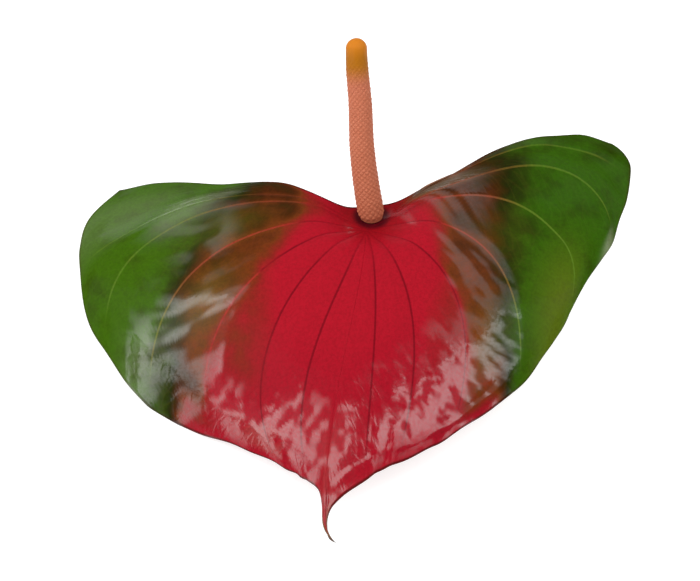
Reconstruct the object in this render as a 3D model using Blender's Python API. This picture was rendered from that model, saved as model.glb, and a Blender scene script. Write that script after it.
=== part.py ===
"""Cut anthurium: a heart-shaped spathe, its spadix and a short length of flower stalk.

The flower lies face up on a surface. It rests on the drooping left edge of the
spathe, on the tip and on the cut stalk, which curves away under the right lobe.
Units are metres, +Z is up, and -Y is where the tip of the heart points.
Sizes written with MM are millimetres measured from the point where the main
veins meet, which stands above FAN_CENTRE.
"""

import bpy
import numpy as np

MM = 0.001

# Where the veins of the spathe meet, seen from above, and how high it stands.
FAN_CENTRE = (3.1 * MM, 34.2 * MM, 0.0)
FAN_HEIGHT = 31.0

# The foot of the spadix and the flat pad of the spathe that carries it.
FOOT_X, FOOT_Y = 1.8, 6.3
PAD_RADIUS = 5.0
PAD_THICKNESS = 2.6
GAP = 0.3

# Blade of the spathe.
BLADE_THICKNESS = 0.95
EDGE_THICKNESS = 0.65
PILLOW_HEIGHT = 1.2
PILLOW_SPACING = 16.0
RIB_HEIGHT = 0.5
EDGE_WAVE = 0.5
EDGE_ROLL = 1.2
BLADE_ROWS = 26

# The dome of the blade: a dish round the foot, the fall of the front over
# its length, the droop of the sides, the extra droop of the front corners,
# and the lift of the lobes behind.
DISH_DEPTH = 3.5
FRONT_FALL, FRONT_LENGTH = 29.0, 100.0
SIDE_DROOP, HALF_WIDTH = 13.0, 85.0
CORNER_DROOP, CORNER_SPREAD = 17.0, 3300.0
RIGHT_LIFT, LEFT_LIFT = 13.0, 3.0

# The midrib drifts to the left, and the drip tip hooks back to the right.
MIDRIB_DRIFT = 13.2
TIP_START = 98.0
TIP_HOOK, TIP_HOOK_LENGTH = 4.2, 9.0

# Line numbers that matter: the first and the last vein beside the notch, and the midrib.
FIRST_VEIN, TIP_VEIN, LAST_VEIN = 1.0, 7.0, 14.0

# Columns between one vein and the next, from the left side of the notch round
# the tip to its right side. The veins themselves lie on whole numbers.
COLUMNS_PER_SECTOR = (6, 5, 4, 5, 4, 3, 4, 4, 3, 4, 4, 4, 5, 5, 6)

# Points of the edge: vein number, then x and y with the midrib drawn straight.
EDGE_POINTS = (
    (0.00, -80.3, 25.4),
    (0.30, -89.8, 16.4),
    (0.65, -92.5, 5.8),
    (1.00, -91.7, -6.1),
    (1.50, -87.9, -20.6),
    (2.00, -80.1, -31.1),
    (2.50, -71.0, -41.0),
    (3.00, -61.6, -49.5),
    (3.50, -49.6, -57.6),
    (4.00, -36.4, -65.4),
    (4.50, -24.0, -73.1),
    (5.00, -14.1, -80.1),
    (5.50, -9.0, -83.9),
    (6.00, -5.4, -86.6),
    (6.30, -1.9, -89.9),
    (6.55, -0.7, -94.0),
    (6.80, -0.4, -99.5),
    (7.00, 0.4, -105.8),
    (7.20, 0.8, -100.1),
    (7.40, 1.7, -96.4),
    (7.65, 4.7, -93.5),
    (8.00, 12.3, -89.1),
    (8.50, 17.1, -85.8),
    (9.00, 21.9, -83.5),
    (9.50, 30.2, -77.9),
    (10.0, 36.8, -72.0),
    (10.5, 46.3, -61.9),
    (11.0, 55.0, -51.6),
    (11.5, 60.4, -41.7),
    (12.0, 65.4, -30.3),
    (12.5, 71.9, -12.4),
    (13.0, 79.3, 2.3),
    (13.35, 81.8, 11.1),
    (13.7, 84.6, 18.5),
    (14.0, 86.0, 26.0),
    (14.5, 85.5, 32.5),
    (15.0, 80.4, 36.9),
)

# The two edges beside the notch, from its bottom out to the lobes.
LEFT_NOTCH = (
    (1.8, 11.3),
    (-6.0, 10.4),
    (-14.5, 12.9),
    (-25.0, 18.4),
    (-49.5, 20.3),
    (-67.0, 24.2),
    (-80.3, 25.4),
)
RIGHT_NOTCH = (
    (1.8, 11.3),
    (9.0, 12.3),
    (20.3, 17.0),
    (41.0, 28.4),
    (60.0, 34.3),
    (72.0, 37.3),
    (80.3, 36.8),
)

# How each vein leaves the straight line from the fan centre to the edge:
# vein number, sideways bow at half length, then skew of the bow.
VEIN_BOWS = (
    (1.0, -7.0, 16.5, -42.0, -25.0),
    (2.0, -13.6, 23.8, -55.0, -5.0),
    (3.0, -15.0, 16.6, -35.0, -5.0),
    (4.0, -18.9, 8.2, -29.0, -15.0),
    (5.0, -16.8, 2.1, -12.0, -12.0),
    (6.0, -6.4, 0.1, -14.0, -1.0),
    (6.5, -1.0, 0.0, -2.0, 0.0),
    (7.0, 0.0, 0.0, 0.0, 0.0),
    (7.5, 0.3, 0.0, 0.0, 0.0),
    (8.0, 2.1, 0.3, 3.0, 0.0),
    (9.0, 8.3, 2.2, 5.0, -4.0),
    (10.0, 12.7, 7.2, 6.0, -15.0),
    (11.0, 12.0, 15.4, 1.0, -27.0),
    (12.0, 16.0, 25.8, 36.0, -2.0),
    (13.0, 10.0, 22.0, 50.0, 23.0),
    (14.0, -3.3, 13.0, 19.0, 20.0),
)

# Spadix: length and radii, and how far it leans back at its foot and its tip.
SPADIX_LENGTH = 59.3
SPADIX_RADIUS_FOOT = 4.3
SPADIX_RADIUS_TIP = 3.35
SPADIX_LEAN_FOOT = 16.0
SPADIX_LEAN_TIP = 36.0
SPADIX_FOOT_NARROWING = 0.14
# How far it sways sideways: share of the length, then x.
SPADIX_SIDEWAYS = ((0.0, 1.8), (0.2, 0.0), (0.4, -1.3), (0.65, -1.9), (0.85, -2.9), (1.0, -3.2))
FLORET_RELIEF = 0.26
FLORETS_AROUND = 14
FLORET_ROWS = 72
SMOOTH_TIP_LENGTH = 11.0

# Stalk: its centre line from the pad down to the cut end, and its radii there.
STALK_PATH = (
    (1.8, 6.3, 27.8),
    (2.4, 7.2, 20.5),
    (5.6, 9.8, 11.8),
    (13.0, 14.5, 5.2),
    (25.0, 20.5, 2.6),
    (42.0, 28.0, 2.5),
    (60.0, 34.5, 2.5),
)
STALK_RADII = (3.9, 3.1, 2.7, 2.6, 2.6, 2.6, 2.7)
STALK_SIDES = 16
STALK_RINGS = 26


def clear_scene():
    for old in list(bpy.data.objects):
        bpy.data.objects.remove(old, do_unlink=True)


def make_material(name, colour, roughness):
    """A finish with a linear RGB colour, for a part with no metal in it."""
    material = bpy.data.materials.new(name)
    material.use_nodes = True
    shader = material.node_tree.nodes["Principled BSDF"]
    shader.inputs["Base Color"].default_value = (*colour, 1.0)
    shader.inputs["Roughness"].default_value = roughness
    shader.inputs["Metallic"].default_value = 0.0
    return material


def smooth_step(start, end, value):
    """0 before start, 1 after end and an S curve between them."""
    t = np.clip((value - start) / (end - start), 0.0, 1.0)
    return t * t * (3.0 - 2.0 * t)


def curve_through(knots, values, at, corner=None):
    """A smooth curve through values at knots, read where at says.

    Each stretch is a cubic whose end slopes are the weighted mean of the
    straight slopes on both sides. At the corner knot each side keeps its own.
    """
    knots = np.asarray(knots, float)
    values = np.asarray(values, float)
    step = np.diff(knots)[:, None]
    slope = np.diff(values, axis=0) / step
    before = np.vstack([slope[:1], slope])
    after = np.vstack([slope, slope[-1:]])
    step_before = np.vstack([step[:1], step])
    step_after = np.vstack([step, step[-1:]])
    mean = (before * step_after + after * step_before) / (step_before + step_after)
    leaving, arriving = mean.copy(), mean.copy()
    if corner is not None:
        at_corner = int(np.argmin(abs(knots - corner)))
        leaving[at_corner] = after[at_corner]
        arriving[at_corner] = before[at_corner]
    i = np.clip(np.searchsorted(knots, at, side="right") - 1, 0, len(knots) - 2)
    t = ((at - knots[i]) / step[i, 0])[:, None]
    return (
        (2 * t**3 - 3 * t**2 + 1) * values[i]
        + (t**3 - 2 * t**2 + t) * step[i] * leaving[i]
        + (3 * t**2 - 2 * t**3) * values[i + 1]
        + (t**3 - t**2) * step[i] * arriving[i + 1]
    )


def midrib_bend(y):
    """Sideways place of the midrib: it drifts left, and its drip tip hooks right."""
    ahead = np.maximum(-y, 0.0)
    hook = np.maximum(ahead - TIP_START, 0.0) / TIP_HOOK_LENGTH
    return TIP_HOOK * hook**2 - MIDRIB_DRIFT * smooth_step(0.0, TIP_START, ahead)


def vein_line(u, s):
    """Plan point at share s along the line numbered u from the fan centre to the edge."""
    edge = np.array(EDGE_POINTS)
    bows = np.array(VEIN_BOWS)
    end = curve_through(edge[:, 0], edge[:, 1:], u, corner=TIP_VEIN)
    bow = curve_through(bows[:, 0], bows[:, 1:], np.clip(u, FIRST_VEIN, LAST_VEIN))
    s = s[:, None]
    return s * end + 4 * s * (1 - s) * bow[:, :2] + s * (1 - s) * (2 * s - 1) * bow[:, 2:]


def notch_line(points, s):
    """Plan point at share s along one of the edges beside the notch."""
    points = np.array(points)
    lengths = np.concatenate([[0.0], np.cumsum(np.linalg.norm(np.diff(points, axis=0), axis=1))])
    return curve_through(lengths / lengths[-1], points, s)


def plan_of(u, s):
    """Plan x and y of the blade at line u and share s.

    Between the first vein and the notch, and between the last vein and the
    notch, the plan is a straight blend of the vein and of the notch's edge.
    """
    vein = np.clip(u, FIRST_VEIN, LAST_VEIN)
    left = np.clip(FIRST_VEIN - u, 0.0, 1.0)[:, None]
    right = np.clip(u - LAST_VEIN, 0.0, 1.0)[:, None]
    plan = (1 - left - right) * vein_line(vein, s)
    plan += left * notch_line(LEFT_NOTCH, s) + right * notch_line(RIGHT_NOTCH, s)
    edge = np.array(EDGE_POINTS)
    outer = curve_through(edge[:, 0], edge[:, 1:], u, corner=TIP_VEIN)
    blend_end = (1 - left - right) * vein_line(vein, np.ones_like(s))
    blend_end += left * np.array(LEFT_NOTCH[-1]) + right * np.array(RIGHT_NOTCH[-1])
    plan += (s**3)[:, None] * (outer - blend_end)
    plan[:, 0] += midrib_bend(plan[:, 1])
    return plan


def blade_height(x, y):
    """Height of the blade over the plan: a domed heart with a dish at its foot.

    The front falls towards the tip, both sides droop, most of all at their
    front corners, and the right lobe lifts behind.
    """
    foot_distance = np.hypot(x - FOOT_X, y - FOOT_Y)
    ahead = np.minimum(y, 0.0)
    behind = np.maximum(y, 0.0)
    dish = DISH_DEPTH * smooth_step(PAD_RADIUS, 22.0, foot_distance)
    fall = FRONT_FALL * (ahead / FRONT_LENGTH) ** 2
    droop = SIDE_DROOP * (x / HALF_WIDTH) ** 2 + CORNER_DROOP * (x * ahead / CORNER_SPREAD) ** 2
    lift = RIGHT_LIFT * smooth_step(0.0, 40.0, behind) * smooth_step(5.0, 60.0, x)
    lift += LEFT_LIFT * smooth_step(0.0, 30.0, behind) * smooth_step(5.0, 60.0, -x)
    return FAN_HEIGHT + dish - fall - droop + lift


def blade_relief(u, s, plan):
    """Tissue that pillows up between sunken veins, a gentle wave, and an edge that rolls down.

    The pillow is a squared sine of the share of the way from one vein to the
    next, and it is as much lower as the veins are closer together.
    """
    sector = np.minimum(np.floor(u), len(COLUMNS_PER_SECTOR) - 1.0)
    to_left = np.linalg.norm(plan - plan_of(sector, s), axis=1)
    to_right = np.linalg.norm(plan - plan_of(sector + 1, s), axis=1)
    apart = to_left + to_right
    pillow = PILLOW_HEIGHT * np.sin(np.pi * to_left / np.maximum(apart, 0.01)) ** 2
    pillow *= np.clip(apart / PILLOW_SPACING, 0.0, 1.0) * (1 - smooth_step(0.75, 1.0, s))
    wave = EDGE_WAVE * np.sin(3 * np.pi * u) * smooth_step(0.5, 1.0, s)
    wave *= smooth_step(0.5, 1.5, abs(u - TIP_VEIN))
    return pillow + wave - EDGE_ROLL * smooth_step(0.86, 1.0, s)


def blade_surface(u, s):
    """Top surface of the blade as points in millimetres, flat on the pad under the spadix."""
    plan = plan_of(u, s)
    off_pad = smooth_step(PAD_RADIUS, 12.0, np.hypot(plan[:, 0] - FOOT_X, plan[:, 1] - FOOT_Y))
    height = blade_height(plan[:, 0], plan[:, 1]) + off_pad * blade_relief(u, s, plan)
    return np.column_stack([plan, height])


def blade_columns():
    """Line numbers of the columns: each sector split evenly, veins on whole numbers."""
    parts = [n + np.arange(count) / count for n, count in enumerate(COLUMNS_PER_SECTOR)]
    return np.append(np.concatenate(parts), float(len(COLUMNS_PER_SECTOR)))


def grid_normals(points):
    """Upward unit normals of a grid of points, from its central differences."""
    across = np.gradient(points, axis=0)
    along = np.gradient(points, axis=1)
    normal = np.cross(along, across)
    length = np.linalg.norm(normal, axis=2, keepdims=True)
    normal = np.where(length > 1e-6, normal / np.maximum(length, 1e-6), (0.0, 0.0, 1.0))
    return np.where(normal[..., 2:] < 0, -normal, normal)


def make_spathe():
    """The blade: a fan of columns from the vein centre to the edge, with two faces."""
    columns = blade_columns()
    rows = np.linspace(0.0, 1.0, BLADE_ROWS + 1)
    u, s = (a.ravel() for a in np.meshgrid(columns, rows, indexing="ij"))
    shape = (len(columns), len(rows))
    top = blade_surface(u, s).reshape(*shape, 3)
    normal = grid_normals(top)
    u, s = u.reshape(shape), s.reshape(shape)
    foot_distance = np.hypot(top[..., 0] - FOOT_X, top[..., 1] - FOOT_Y)
    pad = 1 - smooth_step(PAD_RADIUS, 14.0, foot_distance)
    rib = RIB_HEIGHT * np.cos(np.pi * u) ** 8 * (1 - smooth_step(0.5, 0.95, s)) * smooth_step(0.05, 0.2, s)
    rib = np.where((u < 0.6) | (u > 14.4), 0.0, rib)
    thickness = BLADE_THICKNESS + (EDGE_THICKNESS - BLADE_THICKNESS) * smooth_step(0.6, 1.0, s) + rib
    thickness += (PAD_THICKNESS - BLADE_THICKNESS) * pad
    normal = normal * (1 - pad)[..., None] + np.array((0.0, 0.0, 1.0)) * pad[..., None]
    normal /= np.linalg.norm(normal, axis=2, keepdims=True)
    normal[:, 0] = (0.0, 0.0, 1.0)
    bottom = top - normal * thickness[..., None]
    bottom[..., 2] = np.maximum(bottom[..., 2], 0.0)
    top[..., 2] = np.maximum(top[..., 2], bottom[..., 2] + EDGE_THICKNESS)

    # Behind the centre both sides of the fan meet on one line, point on point.
    half = COLUMNS_PER_SECTOR[0] + 1
    for side in (top, bottom):
        side[-half:, 0] = side[half - 1 :: -1, 0]

    count = shape[0] * shape[1]
    index = np.arange(count).reshape(shape)
    a, b = index[:-1, :-1].ravel(), index[1:, :-1].ravel()
    c, d = index[1:, 1:].ravel(), index[:-1, 1:].ravel()
    upper = np.concatenate([np.column_stack([a, b, c]), np.column_stack([a, c, d])])
    lower = upper[:, ::-1] + count
    ends = np.concatenate([index[0, :], index[1:, -1], index[-1, -2::-1]])
    rim_a, rim_b = ends[:-1], ends[1:]
    rim = np.concatenate(
        [
            np.column_stack([rim_a, rim_b, rim_b + count]),
            np.column_stack([rim_a, rim_b + count, rim_a + count]),
        ]
    )
    faces = np.concatenate([upper, lower, rim])
    points = np.concatenate([top.reshape(-1, 3), bottom.reshape(-1, 3)])
    return make_object("spathe", points, faces, make_material("spathe_wax_red", (0.46, 0.012, 0.028), 0.28))


def make_object(name, points, faces, material):
    """A mesh object from points in millimetres, with doubled points merged and faces turned out."""
    order, index = np.unique(np.round(points, 4), axis=0, return_inverse=True)
    faces = index.reshape(-1)[faces]
    whole = (faces[:, 0] != faces[:, 1]) & (faces[:, 1] != faces[:, 2]) & (faces[:, 2] != faces[:, 0])
    faces = faces[whole]
    corners = order[faces]
    volume = np.einsum("ij,ij->i", corners[:, 0], np.cross(corners[:, 1], corners[:, 2])).sum()
    if volume < 0:
        faces = faces[:, ::-1]
    mesh = bpy.data.meshes.new(name)
    mesh.from_pydata((order * MM).tolist(), [], faces.tolist())
    mesh.materials.append(material)
    mesh.shade_smooth()
    made = bpy.data.objects.new(name, mesh)
    bpy.context.scene.collection.objects.link(made)
    return made


def swept_frame(path):
    """Unit tangents of a path, with two side directions that turn as little as possible."""
    tangent = np.gradient(path, axis=0)
    tangent /= np.linalg.norm(tangent, axis=1, keepdims=True)
    side = np.empty_like(path)
    side[0] = np.cross((0.0, 1.0, 0.0), tangent[0])
    for i in range(1, len(path)):
        side[i] = side[i - 1] - tangent[i] * (side[i - 1] @ tangent[i])
    side /= np.linalg.norm(side, axis=1, keepdims=True)
    return tangent, side, np.cross(tangent, side)


def tube_faces(rings, sides, swap):
    """Triangles of a closed tube with a point at each end; swap says which quads turn their diagonal."""
    index = np.arange(rings * sides).reshape(rings, sides)
    a = index[:-1]
    b = np.roll(a, -1, axis=1)
    d = index[1:]
    c = np.roll(d, -1, axis=1)
    swap = swap[:-1].ravel()
    a, b, c, d = a.ravel(), b.ravel(), c.ravel(), d.ravel()
    one = np.where(swap[:, None], np.column_stack([a, b, d]), np.column_stack([a, b, c]))
    two = np.where(swap[:, None], np.column_stack([b, c, d]), np.column_stack([a, c, d]))
    start, end = rings * sides, rings * sides + 1
    first, last = index[0], index[-1]
    start_cap = np.column_stack([np.full(sides, start), np.roll(first, -1), first])
    end_cap = np.column_stack([np.full(sides, end), last, np.roll(last, -1)])
    return np.concatenate([one, two, start_cap, end_cap])


def spadix_axis(share):
    """Centre line of the spadix: it leans back more and more, and sways to the left."""
    lean_foot, lean_tip = np.radians(SPADIX_LEAN_FOOT), np.radians(SPADIX_LEAN_TIP)
    fine = np.linspace(0.0, 1.0, 400)
    lean = lean_foot + (lean_tip - lean_foot) * fine
    back = np.concatenate([[0.0], np.cumsum(np.sin(lean[1:]))]) * SPADIX_LENGTH / 399
    up = np.concatenate([[0.0], np.cumsum(np.cos(lean[1:]))]) * SPADIX_LENGTH / 399
    sway = np.array(SPADIX_SIDEWAYS)
    x = curve_through(sway[:, 0], sway[:, 1:], share)[:, 0]
    y = FOOT_Y + np.interp(share, fine, back)
    return np.column_stack([x, y, FAN_HEIGHT + GAP + np.interp(share, fine, up)])


def make_spadix():
    """A tapered column with one raised point to each floret, staggered like bricks, and a smooth tip."""
    sides = 2 * FLORETS_AROUND
    share = np.linspace(0.0, 1.0, FLORET_ROWS + 1)
    path = spadix_axis(share)
    tangent, side, other = swept_frame(path)
    along = share * SPADIX_LENGTH
    from_tip = SPADIX_LENGTH - along
    radius = SPADIX_RADIUS_FOOT + (SPADIX_RADIUS_TIP - SPADIX_RADIUS_FOOT) * share
    dome = np.clip(from_tip / SPADIX_RADIUS_TIP, 0.0, 1.0)
    radius *= np.sqrt(np.clip(1 - (1 - dome) ** 2, 0.0, 1.0)).clip(0.12)
    radius *= 1 - SPADIX_FOOT_NARROWING * (1 - smooth_step(0.0, 2.0, along))
    ring, turn = np.meshgrid(np.arange(len(share)), np.arange(sides), indexing="ij")
    raised = (ring + turn) % 2 == 0
    relief = np.where(raised, FLORET_RELIEF, -FLORET_RELIEF)
    fade = smooth_step(0.4 * SMOOTH_TIP_LENGTH, SMOOTH_TIP_LENGTH, from_tip) * smooth_step(0.0, 1.5, along)
    reach = radius[:, None] + relief * fade[:, None]
    angle = 2 * np.pi * turn / sides
    points = path[:, None] + reach[..., None] * (
        np.cos(angle)[..., None] * side[:, None] + np.sin(angle)[..., None] * other[:, None]
    )
    settle = 1 - smooth_step(0.0, 6.0, along)
    points[..., 2] = points[..., 2] * (1 - settle[:, None]) + path[:, None, 2] * settle[:, None]
    points = np.concatenate([points.reshape(-1, 3), path[:1], path[-1:] + tangent[-1:] * 0.15])
    faces = tube_faces(len(share), sides, ~raised)
    return make_object("spadix", points, faces, make_material("spadix_salmon", (0.62, 0.19, 0.10), 0.55))


def make_peduncle():
    """The flower stalk: a round stem that swells under the spathe and ends in a clean cut."""
    knots = np.linspace(0.0, 1.0, len(STALK_PATH))
    share = np.linspace(0.0, 1.0, STALK_RINGS)
    path = curve_through(knots, STALK_PATH, share)
    radius = curve_through(knots, np.array(STALK_RADII)[:, None], share)[:, 0]
    tangent, side, other = swept_frame(path)
    side[0], other[0], tangent[0] = (1.0, 0.0, 0.0), (0.0, -1.0, 0.0), (0.0, 0.0, -1.0)
    angle = 2 * np.pi * np.arange(STALK_SIDES) / STALK_SIDES
    points = path[:, None] + radius[:, None, None] * (
        np.cos(angle)[None, :, None] * side[:, None] + np.sin(angle)[None, :, None] * other[:, None]
    )
    points[..., 2] = np.maximum(points[..., 2], 0.0)
    points = np.concatenate([points.reshape(-1, 3), path[:1], path[-1:]])
    faces = tube_faces(STALK_RINGS, STALK_SIDES, np.zeros((STALK_RINGS, STALK_SIDES), bool))
    return make_object("peduncle", points, faces, make_material("stalk_green", (0.16, 0.24, 0.04), 0.4))


def main():
    clear_scene()
    centre = bpy.data.objects.new("fan_centre", None)
    centre.location = FAN_CENTRE
    bpy.context.scene.collection.objects.link(centre)
    for part in (make_spathe(), make_spadix(), make_peduncle()):
        part.parent = centre


main()
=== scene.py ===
# %% [markdown]
# # A cut anthurium, lying face up
#
# The flower has three pieces: the waxy heart-shaped spathe, the spadix that
# stands on it, and a short length of stalk underneath. Their rough solids come
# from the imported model. Here each one is built again by the same rules, with far
# more points, so that the veins, the puckered skin and the florets can be seen.

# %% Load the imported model
import math

import bpy
import numpy as np
from mathutils import Matrix


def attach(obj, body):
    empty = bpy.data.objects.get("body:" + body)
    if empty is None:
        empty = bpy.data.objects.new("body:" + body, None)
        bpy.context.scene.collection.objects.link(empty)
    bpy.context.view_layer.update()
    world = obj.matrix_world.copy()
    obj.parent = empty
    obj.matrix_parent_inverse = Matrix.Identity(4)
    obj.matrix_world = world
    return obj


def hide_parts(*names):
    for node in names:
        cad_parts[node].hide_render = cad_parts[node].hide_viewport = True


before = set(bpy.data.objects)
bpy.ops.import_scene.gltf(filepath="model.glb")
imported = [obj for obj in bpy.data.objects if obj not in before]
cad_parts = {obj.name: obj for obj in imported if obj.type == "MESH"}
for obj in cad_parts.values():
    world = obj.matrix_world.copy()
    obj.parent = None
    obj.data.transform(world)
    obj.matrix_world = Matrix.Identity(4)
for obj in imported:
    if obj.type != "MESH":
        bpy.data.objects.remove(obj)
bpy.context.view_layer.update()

MM = 0.001
add_to_scene = bpy.context.scene.collection.objects.link
print("packed pieces:", sorted(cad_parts))

# %% [markdown]
# ## Units and place
#
# All lengths below are millimetres. They are measured from the point where the
# main veins of the spathe meet, because every curve of a heart-shaped leaf starts
# there. The last step of each piece moves it to its place and turns it to metres.

# %% Place of the vein centre
FAN_CENTRE = np.array((3.1, 34.2, 0.0))
FAN_HEIGHT = 31.0
FOOT_X, FOOT_Y = 1.8, 6.3
PAD_RADIUS = 5.0

# %% [markdown]
# ## Small tools
#
# All shapes and colours below are sums of these. The soft noise is a square grid
# of random heights, read with a smooth blend between its points, so it has no sharp
# edge and its grain is exactly as wide as the grid.


# %% Smooth step, band and hump
def smooth_step(start, end, value):
    """0 before start, 1 after end, and 3t^2 - 2t^3 between them."""
    t = np.clip((value - start) / (end - start), 0.0, 1.0)
    return t * t * (3.0 - 2.0 * t)


def band(value, rise, full, fade, gone):
    """0 up to rise, 1 from full to fade, 0 from gone: a step up times a step down."""
    return smooth_step(rise, full, value) * smooth_step(-gone, -fade, -value)


def hump(value, centre, width):
    """exp(-d^2), where d is the distance from the centre divided by the width."""
    return np.exp(-(((value - centre) / width) ** 2))


# %% Smooth curve and soft noise
def curve_through(knots, values, at, corner=None):
    """A cubic between each two knots; the slope at a knot is the weighted mean of both sides.

    At the corner knot each side keeps its own slope, which gives a point.
    """
    step = np.diff(knots)[:, None]
    slope = np.diff(values, axis=0) / step
    before = np.vstack([slope[:1], slope])
    after = np.vstack([slope, slope[-1:]])
    step_before = np.vstack([step[:1], step])
    step_after = np.vstack([step, step[-1:]])
    mean = (before * step_after + after * step_before) / (step_before + step_after)
    leaving, arriving = mean.copy(), mean.copy()
    if corner is not None:
        at_corner = np.argmin(abs(knots - corner))
        leaving[at_corner] = after[at_corner]
        arriving[at_corner] = before[at_corner]
    i = np.clip(np.searchsorted(knots, at, side="right") - 1, 0, len(knots) - 2)
    t = ((at - knots[i]) / step[i, 0])[:, None]
    return (
        (2 * t**3 - 3 * t**2 + 1) * values[i]
        + (t**3 - 2 * t**2 + t) * step[i] * leaving[i]
        + (3 * t**2 - 2 * t**3) * values[i + 1]
        + (t**3 - t**2) * step[i] * arriving[i + 1]
    )


CELLS = 128


def soft_noise(x, y, seed):
    """Random heights from -1 to 1 on whole numbers of x and y, with a smooth step between them."""
    table = np.random.default_rng(seed).uniform(-1, 1, (CELLS, CELLS))
    cell_x, cell_y = np.floor(x).astype(int), np.floor(y).astype(int)
    tx, ty = smooth_step(0, 1, x - cell_x), smooth_step(0, 1, y - cell_y)
    left, right = cell_x % CELLS, (cell_x + 1) % CELLS
    low, high = cell_y % CELLS, (cell_y + 1) % CELLS
    bottom = table[left, low] * (1 - tx) + table[right, low] * tx
    top = table[left, high] * (1 - tx) + table[right, high] * tx
    return bottom * (1 - ty) + top * ty


# %% [markdown]
# ## From arrays to an object
#
# A closed skin is put together from grids whose edges lie on each other. Points
# at one place are merged, faces that have shrunk to a line are dropped, and if
# the volume comes out negative every face is turned round, so they point outwards.


# %% Make an object
def squares(a, b, c, d):
    """Two triangles for each four corners: a, b, c and a, c, d."""
    return np.concatenate([np.column_stack([a, b, c]), np.column_stack([a, c, d])])


def make_piece(name, points, faces, materials, face_material, fields, stands_for):
    """A closed mesh from points in millimetres, with named values at its points."""
    kept, first, index = np.unique(
        np.round(points, 4), axis=0, return_index=True, return_inverse=True
    )
    faces = index.reshape(-1)[faces]
    whole = (faces != np.roll(faces, -1, axis=1)).all(axis=1)
    faces, face_material = faces[whole], np.broadcast_to(face_material, len(whole))[whole]
    corners = kept[faces]
    faced = np.cross(corners[:, 1], corners[:, 2])
    volume = np.einsum("ij,ij->i", corners[:, 0], faced).sum() / 6
    if volume < 0:
        faces = faces[:, ::-1]
    mesh = bpy.data.meshes.new(name)
    mesh.from_pydata(((kept + FAN_CENTRE) * MM).tolist(), [], faces.tolist())
    for material in materials:
        mesh.materials.append(material)
    mesh.polygons.foreach_set("material_index", face_material.astype(np.int32))
    mesh.shade_smooth()
    for field, values in fields.items():
        kind, part = ("FLOAT_VECTOR", "vector") if values.ndim == 2 else ("FLOAT", "value")
        data = mesh.attributes.new(field, kind, "POINT").data
        data.foreach_set(part, values[first].astype(np.float32).ravel())
    piece = bpy.data.objects.new(name, mesh)
    add_to_scene(piece)
    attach(piece, "root")
    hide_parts(stands_for)
    print(f"{name}: {len(faces)} triangles, {abs(volume) / 1000:.2f} cubic centimetres")


# %% [markdown]
# ## Colours and nodes
#
# Colours are hex values, as one would pick them from a picture. Light adds up in
# linear values, so each is turned to linear once, here. A real leaf gets its colour
# from layers of cells, and so do these materials: a first tone, then a list of thin
# tones that each cover a part of it.


# %% Colour and node helpers
def colour(hex_value):
    """Linear red, green, blue and alpha from an sRGB hex value such as '#b5132b'."""
    srgb = np.array([int(hex_value[i : i + 2], 16) for i in (1, 3, 5)]) / 255
    linear = np.where(srgb <= 0.04045, srgb / 12.92, ((srgb + 0.055) / 1.055) ** 2.4)
    return (*linear.tolist(), 1.0)


def add_node(tree, kind, settings=None, links=None, output=0):
    """A node with its settings, by property or socket, and its links; gives back one output."""
    node = tree.nodes.new("ShaderNode" + kind)
    for name, value in (settings or {}).items():
        if isinstance(name, str) and hasattr(node, name):
            setattr(node, name, value)
        else:
            node.inputs[name].default_value = value
    for name, source in (links or {}).items():
        tree.links.new(source, node.inputs[name])
    return node.outputs[output]


# Settings that many nodes share: a smooth change, a mix of two colours, a product.
SMOOTH = {"interpolation_type": "SMOOTHSTEP"}
MIX = {"data_type": "RGBA"}
TIMES = {"operation": "MULTIPLY"}
# The colour sockets of a mix, the output that gives a number, and those of a change of range.
A, B, MIXED = 6, 7, 2
VALUE = "Fac"
RANGE = ("From Min", "From Max", "To Min", "To Max")


# %% Material helpers
def new_material(name, constants, named=(), grain_mm=None, detail=3.0):
    """A material with one Principled shader, whose unchanging values are on its own sockets.

    Gives back its node tree, its shader and what its colours read: the named values of the
    mesh, the place on it, and "cloud", cloudy noise with grains of the given width.
    """
    material = bpy.data.materials.new(name)
    material.use_nodes = True
    tree = material.node_tree
    shader = tree.nodes["Principled BSDF"]
    for socket, value in constants.items():
        shader.inputs[socket].default_value = value
    read = {n: add_node(tree, "Attribute", {"attribute_name": n}, output=VALUE) for n in named}
    if grain_mm:
        read["place"] = add_node(tree, "TexCoord", output="Object")
        noise = {"Scale": 1 / (grain_mm * MM), "Detail": detail}
        read["cloud"] = add_node(tree, "TexNoise", noise, {"Vector": read["place"]}, VALUE)
    return material, tree, shader, read


def tones_along(tree, value, stops):
    """The colours of a table of stops, read at a value."""
    ramp = add_node(tree, "ValToRGB", links={"Fac": value}, output="Color")
    elements = ramp.node.color_ramp.elements
    elements.remove(elements[1])
    elements[0].position, elements[0].color = stops[0][0], colour(stops[0][1])
    for position, hex_value in stops[1:]:
        elements.new(position).color = colour(hex_value)
    return ramp


def lay_over(tree, tissue, layers):
    """Mixes the layers over the tissue, one after another.

    Each layer is the value that it reads, then where its change starts and ends with its share
    before and after, then its tone, and at times one more share to multiply by.
    """
    for source, change, tone, *times in layers:
        change = {**SMOOTH, **dict(zip(RANGE, change))}
        share = add_node(tree, "MapRange", change, {"Value": source})
        for factor in times:
            share = add_node(tree, "Math", TIMES, {0: share, 1: factor})
        settings, links = dict(MIX), {"Factor": share}
        for socket, part in ((A, tissue), (B, tone)):
            if isinstance(part, str):
                settings[socket] = colour(part)
            else:
                links[socket] = part
        tissue = add_node(tree, "Mix", settings, links, MIXED)
    return tissue


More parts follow.
